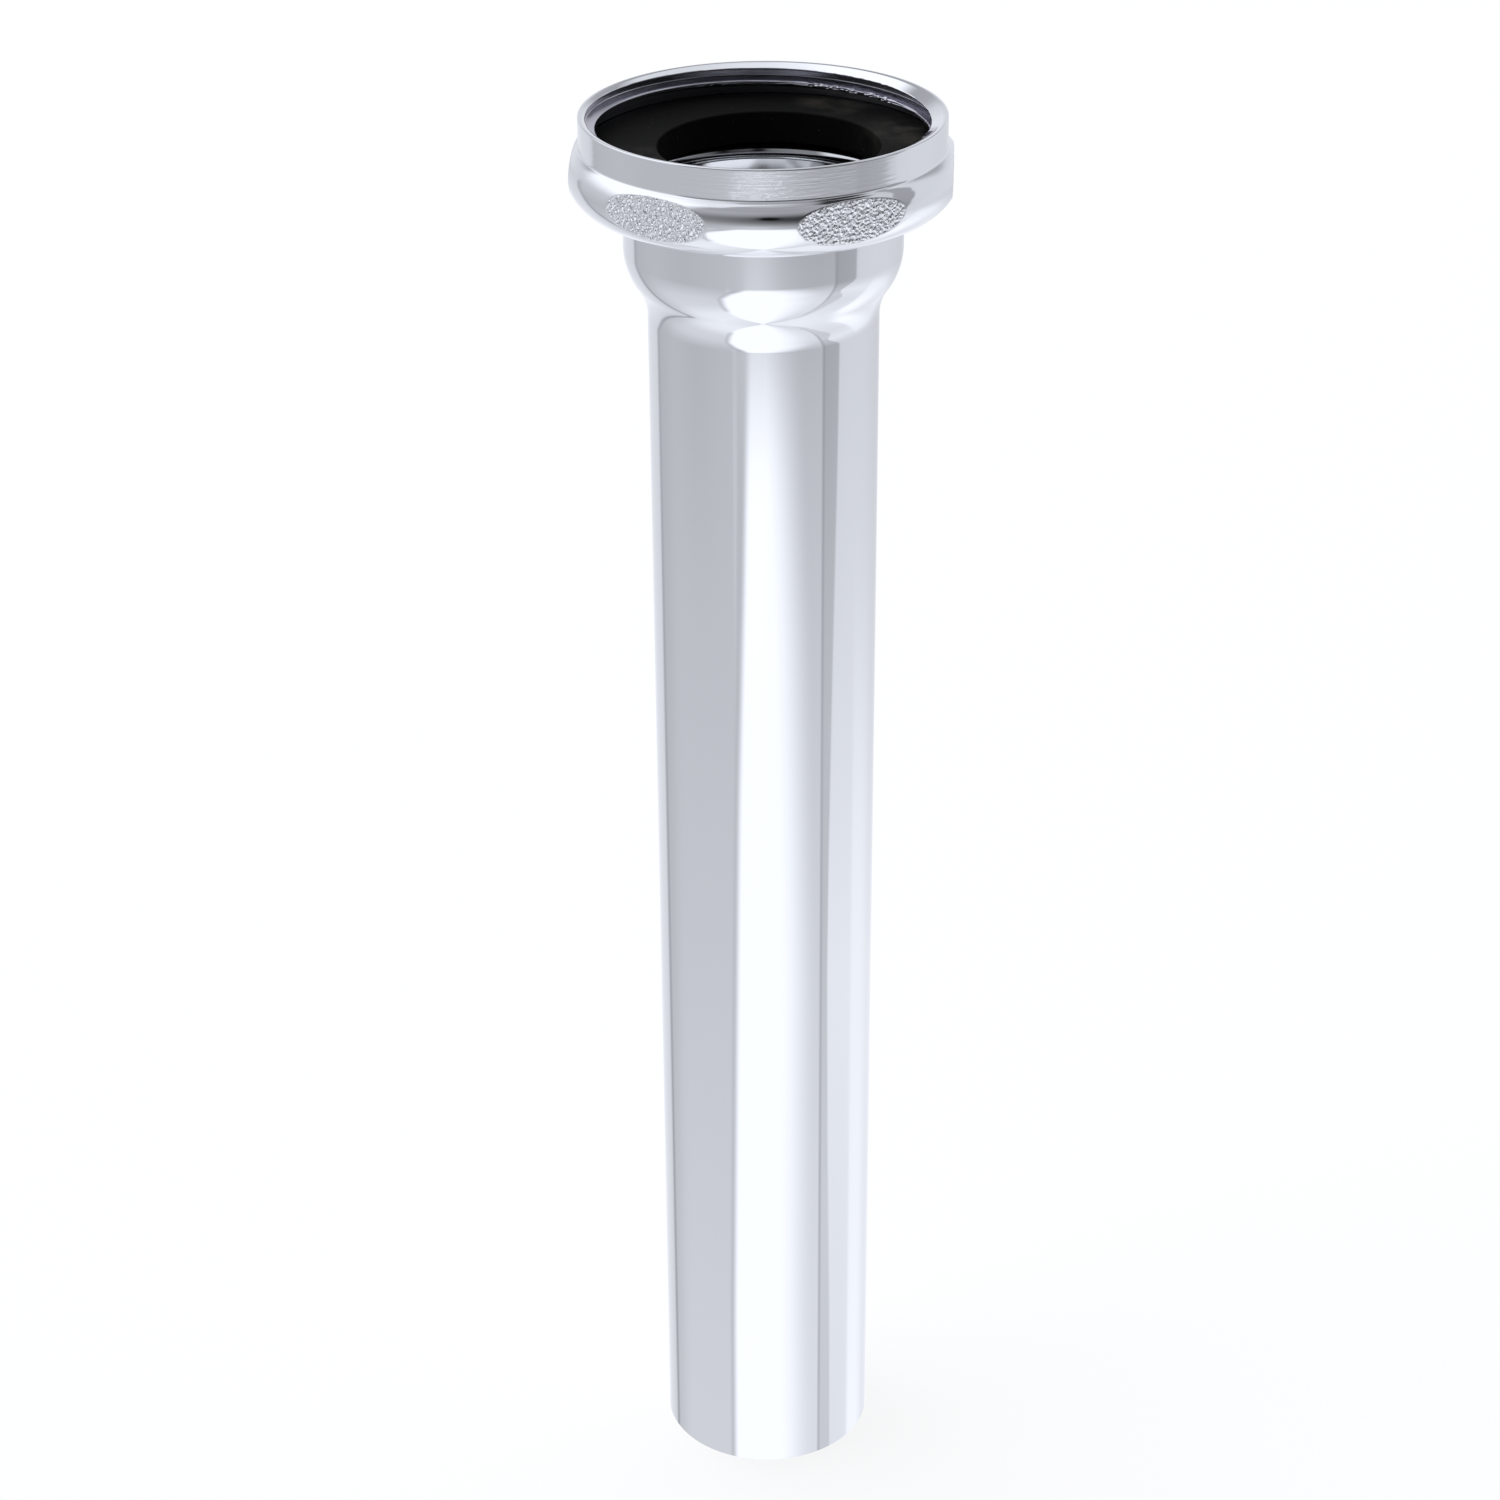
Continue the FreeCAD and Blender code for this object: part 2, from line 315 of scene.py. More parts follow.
@dataclass(frozen=True)
class Wear:
    """Spots where handling has worn the plate into pale rough pits."""

    spots: tuple[Spot, ...]
    pits: Speckle = Speckle(2700.0, 1.0, stretch=(0.45, 0.45, 1.0))
    pit_edge: Pair = (0.57, 0.61)
    colour: Triple = (0.98, 0.99, 1.0)
    roughness: float = 0.5


@dataclass(frozen=True)
class PlatedBrass:
    """Bright chrome plate on brass, with the marks of the work under it."""

    name: str
    marks: Marks = PolishMarks()
    colour: Triple = (0.78, 0.79, 0.81)
    shade: float = 0.985
    roughness: float = 0.06
    cloud: float = 0.02
    haze: Speckle = Speckle(90.0, 4.0)
    wear: Wear | None = None

    def make(self) -> bpy.types.Material:
        """Builds the material.

        Returns:
            The material, with the haze, the wear and the marks in its nodes.
        """
        material = bpy.data.materials.new(self.name)
        shader = Shader(material)
        place = shader.place()
        haze = shader.noise(place, self.haze)
        rough = self.roughness + haze.swing(self.cloud)
        colour = shader.mix(haze, rgba(self.colour, self.shade), rgba(self.colour))
        if self.wear:
            pits = shader.noise(place, self.wear.pits).rise(*self.wear.pit_edge)
            pits = pits * shader.near(place, self.wear.spots)
            colour = shader.mix(pits, colour, rgba(self.wear.colour))
            rough = rough + pits * self.wear.roughness
        normal = self.marks.normal(shader, place)
        shader.surface({"Base Color": colour, "Metallic": 1.0, "Roughness": rough, "Normal": normal})
        return material


@dataclass(frozen=True)
class MouldedRubber:
    """Black moulded rubber, matt, with pale dust in specks and painted sheen as a pale film in spots."""

    name: str = "black_rubber"
    colour: Triple = (0.006, 0.006, 0.0055)
    bloom: Speckle = Speckle(160.0, 3.0)
    bloom_shades: Pair = (0.7, 1.3)
    # One pale colour for the real dust specks and for the painted sheen film.
    dust_and_sheen: Triple = (0.085, 0.078, 0.066)
    specks: Speckle = Speckle(1500.0, 1.0)
    speck_edge: Pair = (0.74, 0.8)
    speck_cover: float = 0.5
    sheen_film: Speckle = Speckle(260.0, 3.0)
    sheen_film_edge: Pair = (0.3, 0.75)
    sheen_film_cover: float = 0.6
    # Painted sheen: spots where a pale film of the dust colour lightens the rubber as if lit.
    sheen_spots: tuple[Spot, ...] = ((-18, -8, 210.5, 9), (22, 6, 211, 11), (10, 19, 211, 7))
    roughness: float = 0.6
    cloud: float = 0.05
    gloss: float = 0.05
    skin: Speckle = Speckle(2200.0, 3.0)
    skin_depth: float = 0.04

    def make(self) -> bpy.types.Material:
        """Builds the material.

        Returns:
            The material, with the bloom, the dust, the painted sheen and the skin in its nodes.
        """
        material = bpy.data.materials.new(self.name)
        shader = Shader(material)
        place = shader.place()
        bloom = shader.noise(place, self.bloom)
        specks = shader.noise(place, self.specks).rise(*self.speck_edge)
        # Painted sheen: a pale film, laid only in its spots.
        sheen_film = shader.noise(place, self.sheen_film).rise(*self.sheen_film_edge) * shader.near(place, self.sheen_spots)
        bare = shader.mix(bloom, *(rgba(self.colour, shade) for shade in self.bloom_shades))
        cover = specks * self.speck_cover + sheen_film * self.sheen_film_cover
        shader.surface({
            "Base Color": shader.mix(cover, bare, rgba(self.dust_and_sheen)),
            "Roughness": self.roughness + bloom.swing(self.cloud),
            "Specular IOR Level": self.gloss,
            "Normal": shader.bump(shader.noise(place, self.skin), self.skin_depth),
        })
        return material


def rise(inside: np.ndarray, softness: float) -> np.ndarray:
    """Goes smoothly from 0 to 1 across a soft edge, where inside is the way past its middle."""
    way = np.clip(inside / softness + 0.5, 0, 1)
    return way * way * (3 - 2 * way)


class Section:
    """Half of a turned piece's outline, walked as (radius, height) points."""

    # How far a support point stands from the end of its run.
    EDGE = 0.03

    def __init__(self, radius: float, height: float, tooling: Tooling = Tooling.POLISHED) -> None:
        """Starts the walk.

        Args:
            radius: The first point's distance from the axis.
            height: The first point's height.
            tooling: How the runs are worked, until worked() says otherwise.
        """
        self.points: list[Pair] = [(radius, height)]
        self.toolings: list[Tooling] = []
        self.tooling = tooling

    def worked(self, tooling: Tooling) -> "Section":
        """Sets how the metal is worked from here on."""
        self.tooling = tooling
        return self

    def line(self, radius: float, height: float, step: float = 0.0) -> "Section":
        """Walks straight to a point, with a support point close to each end so that the run shades flat.

        Args:
            radius: Where the run ends, from the axis.
            height: Where the run ends, above the plain end.
            step: The widest gap between points, or 0 for none between the supports.

        Returns:
            The section itself, for the next step of the walk.
        """
        start, end = np.array(self.points[-1]), np.array([radius, height])
        length = float(np.linalg.norm(end - start))
        shares = [self.EDGE / length, 1 - self.EDGE / length] if length > 3 * self.EDGE else []
        if shares and step:
            shares = list(np.linspace(*shares, max(2, math.ceil(length / step) + 1)))
        return self.visit([tuple(start + (end - start) * share) for share in (*shares, 1)])

    def arc(self, centre: Pair, start: float, end: float, steps: int) -> "Section":
        """Walks along an arc that begins at the last point.

        Args:
            centre: The arc's centre, as (radius, height).
            start: The angle of the last point, seen from the centre.
            end: The angle at which the arc stops.
            steps: How many chords the arc has.

        Returns:
            The section itself, for the next step of the walk.
        """
        size = math.hypot(self.points[-1][0] - centre[0], self.points[-1][1] - centre[1])
        angles = np.radians(np.linspace(start, end, steps + 1)[1:])
        return self.visit([(centre[0] + size * math.cos(a), centre[1] + size * math.sin(a)) for a in angles])

    def visit(self, points: list[Pair]) -> "Section":
        """Adds points, each at the end of a run worked as set.

        Args:
            points: The points, in the order of the walk.

        Returns:
            The section itself, for the next step of the walk.
        """
        self.points += points
        self.toolings += [self.tooling] * len(points)
        return self

    def closed(self) -> "Section":
        """Drops the last point of a walk that ends where the ring of points begins."""
        self.points.pop()
        return self

    def rows(self) -> tuple[np.ndarray, np.ndarray, np.ndarray]:
        """The radii and heights of the points, and how each run between two of them is worked."""
        radii, heights = np.array(self.points).T
        return radii, heights, np.array(self.toolings)


def ring_quads(columns: int, rows: int, closed: bool) -> np.ndarray:
    """Joins columns of points into faces, once round.

    Args:
        columns: How many columns there are.
        rows: How many points each column has.
        closed: Whether a column's last point is joined to its first.

    Returns:
        The four corners of each face, by number, where the points are counted column by column.
    """
    column, row = np.meshgrid(np.arange(columns), np.arange(rows if closed else rows - 1), indexing="ij")
    after, above = (column + 1) % columns, (row + 1) % rows
    corners = [column * rows + row, after * rows + row, after * rows + above, column * rows + above]
    return np.stack(corners, axis=-1).reshape(-1, 4)


def add_mesh(name: str, points: np.ndarray, faces: np.ndarray) -> bpy.types.Object:
    """Makes an object of points and faces, and links it to the scene.

    Args:
        name: The object's name, and its mesh's.
        points: The points, in millimetres.
        faces: The corners of each face, by number.

    Returns:
        The object, with no material yet.
    """
    mesh = bpy.data.meshes.new(name)
    mesh.from_pydata((points * MM).tolist(), [], faces.tolist())
    made = bpy.data.objects.new(name, mesh)
    bpy.context.scene.collection.objects.link(made)
    return made


def turned_piece(name: str, angles: np.ndarray, radii: np.ndarray, heights: np.ndarray,
                 toolings: np.ndarray, finishes: dict[Tooling, Finish]) -> bpy.types.Object:
    """Makes and dresses a closed ring of quads, whose section may change from one angle to the next.

    Args:
        name: The piece's name.
        angles: The angle of each column of points, once round.
        radii: The radius of each point, with the section's rows for each column.
        heights: The height of each point, in the same layout.
        toolings: How each face is worked, in the same layout.
        finishes: The finish of each way of working.

    Returns:
        The smooth-shaded piece.
    """
    turn = np.radians(angles)[:, None]
    points = np.stack([radii * np.cos(turn), radii * np.sin(turn), heights], axis=-1).reshape(-1, 3)
    piece = add_mesh(name, points, ring_quads(*radii.shape, closed=True))
    piece.data.shade_smooth()
    order = np.zeros(len(Tooling), dtype=int)
    for index, (tooling, finish) in enumerate(finishes.items()):
        piece.data.materials.append(finish.make())
        order[tooling] = index
    piece.data.polygons.foreach_set("material_index", order[toolings].reshape(-1))
    return piece


def evenly_turned(name: str, columns: int, section: Section,
                  finishes: dict[Tooling, Finish]) -> bpy.types.Object:
    """Makes and dresses a piece whose section is the same all round.

    Args:
        name: The piece's name.
        columns: How many columns of points go round it.
        section: The outline that is turned.
        finishes: The finish of each way of working.

    Returns:
        The smooth-shaded piece.
    """
    angles = np.linspace(0, 360, columns, endpoint=False)
    radii, heights, toolings = (np.tile(row, (columns, 1)) for row in section.rows())
    return turned_piece(name, angles, radii, heights, toolings, finishes)


@dataclass
class TailPipe:
    """The drawn tube with its neck, round shoulder, bell, and the flange turned out round its mouth."""

    radius: float = 15.875
    wall: float = 1.2
    bell_radius: float = 19.05
    bell_level: float = 196.35
    shoulder: float = 9.2
    neck: float = 7.9
    flange_bend: float = 1.2
    mouth_round: float = 3.2
    deburr: float = 0.2
    columns: int = 360
    tube_step: float = 12.0
    bell_step: float = 3.0
    neck_steps: int = 20
    shoulder_steps: int = 24
    flange_steps: int = 8
    mouth_steps: int = 16
    finishes: dict[Tooling, Finish] = field(default_factory=lambda: {
        Tooling.POLISHED: PlatedBrass("polished_tube"),
        Tooling.BORE: PlatedBrass("tube_bore", roughness=0.07),
    })

    def section(self) -> Section:
        """Walks round the wall, up the outside, over the flange and down the inside.

        Returns:
            The wall's closed outline.
        """
        low, high = (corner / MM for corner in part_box("tail_pipe"))
        top, flange = high.z, high.x
        tube, bell, wall = self.radius, self.bell_radius, self.wall
        bend = math.acos(1 - (bell - tube) / (self.shoulder + self.neck))
        neck_level = self.bell_level - (self.shoulder + self.neck) * math.sin(bend)
        bend = math.degrees(bend)
        neck_centre, shoulder_centre = (tube + self.neck, neck_level), (bell - self.shoulder, self.bell_level)
        lip_level = top - wall - self.flange_bend
        lip_centre = (bell + self.flange_bend, lip_level)
        mouth_centre = (bell - wall + self.mouth_round, top - self.mouth_round)

        outline = Section(tube - wall, low.z)
        outline.line(tube - self.deburr, low.z).line(tube, low.z + self.deburr)
        outline.line(tube, neck_level, self.tube_step).arc(neck_centre, 180, 180 - bend, self.neck_steps)
        outline.arc(shoulder_centre, -bend, 0, self.shoulder_steps).line(bell, lip_level, self.bell_step)
        outline.arc(lip_centre, 180, 90, self.flange_steps)
        outline.line(flange, top - wall).line(flange, top).line(mouth_centre[0], top)
        outline.worked(Tooling.BORE).arc(mouth_centre, 90, 180, self.mouth_steps)
        outline.line(bell - wall, self.bell_level, self.bell_step)
        outline.arc(shoulder_centre, 0, -bend, self.shoulder_steps)
        outline.arc(neck_centre, 180 - bend, 180, self.neck_steps)
        return outline.line(tube - wall, low.z, self.tube_step).closed()

    def build(self) -> bpy.types.Object:
        """Makes the tube as one closed piece."""
        return evenly_turned("drawn_tube", self.columns, self.section(), self.finishes)


@dataclass
class SealingWasher:
    """The flat rubber ring that lies on the flange."""

    bore: float = 15.0
    off_centre: float = 0.8
    edge: float = 0.25
    edge_steps: int = 5
    base_step: float = 1.2
    side_step: float = 0.8
    top_step: float = 0.6
    columns: int = 288
    finishes: dict[Tooling, Finish] = field(default_factory=lambda: {Tooling.MOULDED: MouldedRubber()})

    def section(self) -> Section:
        """Walks round the ring's four sides and rounded edges.

        Returns:
            The ring's closed outline.
        """
        low, high = (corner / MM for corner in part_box("sealing_washer"))
        outer, base, top, bore, edge = high.x, low.z, high.z, self.bore, self.edge
        outline = Section(bore + edge, base, Tooling.MOULDED)
        outline.line(outer - edge, base, self.base_step)
        outline.arc((outer - edge, base + edge), -90, 0, self.edge_steps)
        outline.line(outer, top - edge, self.side_step)
        outline.arc((outer - edge, top - edge), 0, 90, self.edge_steps)
        outline.line(bore + edge, top, self.top_step)
        outline.arc((bore + edge, top - edge), 90, 180, self.edge_steps)
        outline.line(bore, base + edge, self.side_step)
        return outline.arc((bore + edge, base + edge), 180, 270, self.edge_steps).closed()

    def build(self) -> bpy.types.Object:
        """Makes the ring, whose hole is punched a little off its centre, to the right.

        Returns:
            The washer as one closed piece.
        """
        ring = evenly_turned("rubber_washer", self.columns, self.section(), self.finishes)
        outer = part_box("sealing_washer")[1].x
        for point in ring.data.vertices:
            inward = (outer - point.co.xy.length) / (outer - self.bore * MM)
            point.co.x += self.off_centre * MM * min(max(inward, 0), 1)
        return ring


@dataclass(frozen=True)
class PadGrain:
    """The grains of a cast pad: round humps on a skin that swells and sinks a little.

    The hump, its fall and the swell are shares of the height, and the seed moves the whole pattern.
    """

    size: float = 0.46
    height: float = 0.12
    hump: float = 0.6
    fall: float = 1.4
    swell: float = 0.8
    swell_scale: float = 0.8
    pad_shift: float = 40.0
    seed: Triple = (7.3, 2.1, 5.7)

    def at(self, across: float, up: float, pad: float) -> float:
        """Finds how far the skin stands out.

        Args:
            across: The way across the pad, from its middle.
            up: The height.
            pad: The pad's number, because each has grains of its own.

        Returns:
            The way out from the flat pad, below 0 where the skin lies deeper.
        """
        place = Vector((across, up, pad * self.pad_shift)) / self.size + Vector(self.seed)
        near, _ = noise.voronoi(place, distance_metric="DISTANCE", exponent=2)
        swell = self.swell * noise.noise(place * self.swell_scale)
        return self.height * (self.hump - self.fall * near[0] ** 2 + swell)


@dataclass(frozen=True)
class InsideThread:
    """The right-hand thread in the nut's mouth, with crests that the tap tore on the right of the back.

    Depths are under the nut's top. A ridge's and a flank's width are counted in pitches.
    """

    major: float = 23.898
    minor: float = 22.42
    pitch: float = 2.309
    crest_depth_at_back: float = 2.52
    half_ridge: float = 0.21
    flank: float = 0.26
    end_depth: float = 3.45
    runout: float = 0.3
    rows: int = 68
    torn: float = 0.18
    torn_angle: float = 55.0
    torn_reach: float = 38.0
    chips_along: float = 0.9
    chips_down: float = 5.0
    chip_seed: float = 3.7
    chip_contrast: float = 1.6
    chip_level: float = 0.4

    def radii(self, angles: np.ndarray, depth: np.ndarray) -> np.ndarray:
        """Cuts the thread.

        Args:
            angles: The columns' angles.
            depth: The rows' depths, as one row of an array.

        Returns:
            The thread's radius at each column and row.
        """
        crest = self.crest_depth_at_back + self.pitch * (90 - angles[:, None]) / 360
        off_crest = np.abs((depth - crest + self.pitch / 2) % self.pitch - self.pitch / 2)
        ridge = rise(self.pitch * self.half_ridge - off_crest, self.pitch * self.flank)
        ridge *= 1 - rise(depth - self.end_depth, self.runout)
        ridge *= 1 - self.tears(angles, depth)
        return self.major - (self.major - self.minor) * ridge

    def tears(self, angles: np.ndarray, depth: np.ndarray) -> np.ndarray:
        """Chips the crests where the tap tore them.

        Args:
            angles: The columns' angles.
            depth: The rows' depths, as one row of an array.

        Returns:
            The share of the ridge that is gone at each column and row.
        """
        where = np.exp(-(((angles - self.torn_angle) / self.torn_reach) ** 2))
        chips = [
            [noise.noise(Vector((angle * self.chips_along, level * self.chips_down, self.chip_seed)))
             for level in depth[0]]
            for angle in angles
        ]
        gone = np.clip(np.array(chips) * self.chip_contrast + self.chip_level, 0, 1)
        return self.torn * where[:, None] * gone


@dataclass
class CouplingNut:
    """The captive nut: plain turned band, round bulge with six grained pads, inside thread and floor."""

    hole: float = 19.2
    hole_chamfer: float = 0.6
    floor_thickness: float = 1.85
    ledge_level: float = 7.95
    thread: InsideThread = InsideThread()
    mouth_slope: float = 1.9
    band: float = 24.728
    band_step: float = 1.5
    lip_width: float = 0.35
    lip_round: float = 0.2
    lip_steps: int = 5
    lip_crown: Pair = (0.4, 0.1)
    bulge: float = 26.615
    bulge_level: float = 5.07
    bulge_top: float = 3.26
    over_steps: int = 22
    under_steps: int = 32
    foot_inset: float = 3.8
    foot_round: float = 0.7
    foot_steps: int = 8
    corner_round: float = 0.35
    corner_steps: int = 8
    pads: int = 6
    pad_reach: float = 25.438
    pad_turn: float = -3.4
    pad_half_angle: float = 17.8
    pad_rim_share: float = 0.15
    grain: PadGrain = PadGrain()
    columns_on_pad: int = 90
    columns_between: int = 8
    finishes: dict[Tooling, Finish] = field(default_factory=lambda: {
        Tooling.POLISHED: PlatedBrass("polished_nut"),
        Tooling.BORE: PlatedBrass("cut_thread", colour=(0.49, 0.485, 0.54), roughness=0.19),
        Tooling.TURNED: PlatedBrass(
            "turned_band", TurningMarks(), roughness=0.15, wear=Wear(spots=((-0.5, -24.7, 211.2, 4.6),))
        ),
        Tooling.CAST: PlatedBrass("cast_pads", CastGrain(), roughness=0.09),
    })

    @property
    def height(self) -> float:
        """The nut's height, as the solid has it."""
        low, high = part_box("coupling_nut")
        return (high.z - low.z) / MM

    def angles(self) -> np.ndarray:
        """Spaces the columns, closer together across each pad than between the pads.

        Returns:
            The columns' angles, once round.
        """
        whole, half = 360 / self.pads, self.pad_half_angle
        across = np.linspace(-half, half, self.columns_on_pad, endpoint=False)
        between = np.linspace(half, whole - half, self.columns_between, endpoint=False)
        once = np.concatenate([across, between]) + self.pad_turn
        return np.concatenate([once + whole * pad for pad in range(self.pads)])

    def outside(self) -> Section:
        """Walks up the outside as turned: the underside, the bulge, the band and the lip.

        Returns:
            The outline from the hole's lower edge to the lip's inner edge.
        """
        under = (self.foot_inset**2 + self.bulge_level**2) / (2 * self.foot_inset)
        under_centre = (self.bulge - under, self.bulge_level)
        over_centre = (self.bulge - self.bulge_top, self.bulge_level)
        foot_up = self.bulge_level - self.foot_round
        foot_out = math.sqrt((under - self.foot_round) ** 2 - foot_up**2)
        foot_centre = (under_centre[0] + foot_out, self.foot_round)
        foot_angle = -math.degrees(math.atan2(foot_up, foot_out))
        corner_out = self.band + self.corner_round - over_centre[0]
        corner_up = math.sqrt((self.bulge_top + self.corner_round) ** 2 - corner_out**2)
        corner_centre = (self.band + self.corner_round, self.bulge_level + corner_up)
        corner_angle = math.degrees(math.atan2(corner_up, corner_out))
        lip_centre = (self.band - self.lip_round, self.height - self.lip_round)

        outline = Section(self.hole, 0)
        outline.line(foot_centre[0], 0).arc(foot_centre, -90, foot_angle, self.foot_steps)
        outline.arc(under_centre, foot_angle, 0, self.under_steps)
        outline.arc(over_centre, 0, corner_angle, self.over_steps)
        outline.arc(corner_centre, corner_angle - 180, -180, self.corner_steps)
        outline.worked(Tooling.TURNED).line(self.band, lip_centre[1], self.band_step)
        outline.worked(Tooling.POLISHED).arc(lip_centre, 0, 90, self.lip_steps)
        return outline.line(self.band - self.lip_width, self.height)

    def inside(self) -> Section:
        """Walks down the inside, from the ledge under the thread over the groove and the floor.

        Returns:
            The outline as far as the hole's lower edge, where the outside begins.
        """
        floor = self.floor_thickness
        outline = Section(self.thread.major, self.ledge_level, Tooling.BORE)
        outline.line(self.thread.major, floor).line(self.hole + self.hole_chamfer, floor)
        return outline.line(self.hole, floor - self.hole_chamfer).line(self.hole, 0).closed()

    def pad_skin(self, angles: np.ndarray, radii: np.ndarray,
                 heights: np.ndarray) -> tuple[np.ndarray, np.ndarray]:
        """Cuts the six flat pads into the turned outside and roughens them.

        Args:
            angles: The columns' angles.
            radii: The turned radius of each row of the outside.
            heights: The height of each row.

        Returns:
            The radius of every point of the outside, and where it is part of a pad.
        """
        whole = 360 / self.pads
        pad, way = np.divmod(angles - self.pad_turn + whole / 2, whole)
        off_centre = np.radians(way - whole / 2)
        flat = self.pad_reach / np.cos(off_centre)[:, None]
        turned = np.broadcast_to(radii, (len(angles), len(radii)))
        on_bulge = (heights > self.foot_round) & (heights < self.bulge_level + self.bulge_top)
        stands_proud = np.where(on_bulge, turned - flat, 0)
        skin = np.where(stands_proud > 0, flat, turned)
        rim = np.clip(stands_proud / self.grain.height, 0, 1)
        for column, row in zip(*np.nonzero(rim)):
            across = self.pad_reach * math.tan(off_centre[column])
            skin[column, row] += self.grain.at(across, heights[row], pad[column]) * rim[column, row]
        highest = np.where(rim > 0, flat + self.pad_rim_share * stands_proud, turned)
        return np.minimum(skin, highest), rim > 0

    def mouth_skin(self, angles: np.ndarray, heights: np.ndarray) -> tuple[np.ndarray, np.ndarray]:
        """Cuts the thread below the lip's rounded inner edge.

        Args:
            angles: The columns' angles.
            heights: The height of each row of the mouth.

        Returns:
            The radius of every point of the mouth, and where it is part of the thread.
        """
        depth = self.height - heights[None, :]
        thread = self.thread.radii(angles, depth)
        width, drop = self.lip_crown
        crowned = width * np.sqrt(np.minimum(depth / drop, 1))
        mouth = self.band - self.lip_width - crowned - np.maximum(depth - drop, 0) * self.mouth_slope
        return np.maximum(thread, mouth), thread > mouth

    def build(self) -> bpy.types.Object:
        """Makes the nut: up the outside, down the thread, and on over the floor to the hole.

        Returns:
            The nut as one closed piece.
        """
        angles = self.angles()
        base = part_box("coupling_nut")[0].z / MM
        outside_radii, outside_heights, outside_toolings = self.outside().rows()
        inside_radii, inside_heights, inside_toolings = self.inside().rows()
        last_depth = self.thread.end_depth + self.thread.runout
        mouth_heights = self.height - np.linspace(0, last_depth, self.thread.rows)[1:]
        mouth_toolings = np.full(len(mouth_heights) + 1, Tooling.POLISHED)
        skin, on_pad = self.pad_skin(angles, outside_radii, outside_heights)
        mouth, is_cut = self.mouth_skin(angles, mouth_heights)

        radii = np.concatenate([skin, mouth, np.tile(inside_radii, (len(angles), 1))], axis=1)
        heights = np.concatenate([outside_heights, mouth_heights, inside_heights]) + base
        toolings = np.concatenate([outside_toolings, mouth_toolings, inside_toolings])
        heights, toolings = (np.tile(row, (len(angles), 1)) for row in (heights, toolings))
        cast = on_pad & np.roll(on_pad, -1, axis=0) & np.roll(on_pad, -1, axis=1)
        rows = len(outside_heights)
        toolings[:, :rows][cast] = Tooling.CAST
        toolings[:, rows : rows + len(mouth_heights)][is_cut] = Tooling.BORE
        return turned_piece("threaded_nut", angles, radii, heights, toolings, self.finishes)


def along(run: Run, elevation: np.ndarray) -> np.ndarray:
    """The value of a run at each elevation."""
    elevations, values = np.array(run if isinstance(run, tuple) else ((0, run),)).T
    return np.interp(elevation, elevations, values)


@dataclass(frozen=True)
class Panel:
    """A lit or shaded part of the tent, by where it stands as seen from the part.

    A bearing is 0 towards the front, 90 to the right and -90 to the left, and an elevation is 90 overhead.
    The left and right edges are runs of bearings, and the glow is a run of brightnesses.
    """

    name: str
    low: float
    high: float
    left: Run
    right: Run
    glow: Run
    soft_left: float = 2.0
    soft_right: float = 2.0
    soft_end: float = 4.0

    def share(self, bearing: np.ndarray, elevation: np.ndarray) -> np.ndarray:
        """Finds how much of the tent the panel hides.

        Args:
            bearing: The bearing of each direction.
            elevation: The elevation of each direction.

        Returns:
            The share in each direction, from 0 to 1.
        """
        left, right = along(self.left, elevation), along(self.right, elevation)
        middle = (left + right) / 2
        off, reach = (bearing - middle + 180) % 360 - 180, (right - left) / 2
        across = rise(off + reach, self.soft_left) * rise(reach - off, self.soft_right)
        return across * rise(elevation - self.low, self.soft_end) * rise(self.high - elevation, self.soft_end)


@dataclass(frozen=True)
class Pool:
    """A round pool of light on the tent that fades out all round, or of shade if its strength is below 0."""

    name: str
    bearing: float
    elevation: float
    half_width: float
    half_height: float
    strength: float

    def glow(self, bearing: np.ndarray, elevation: np.ndarray) -> np.ndarray:
        """Finds how much light the pool adds.

        Args:
            bearing: The bearing of each direction.
            elevation: The elevation of each direction.

        Returns:
            The brightness that is added in each direction.
        """
        off = ((bearing - self.bearing + 180) % 360 - 180) / self.half_width
        up = (elevation - self.elevation) / self.half_height
        return self.strength * np.exp(-(off**2 + up**2))


# The edge where the right wall meets its post, up to where each goes its own way.
POST_EDGE: tuple[Pair, ...] = (
    (-60, 70), (-50, 72), (-44, 76), (-40, 78), (-37, 76), (-34, 72), (-31, 70), (-29, 71), (-26, 74),
    (-22, 79), (-18, 82),
)


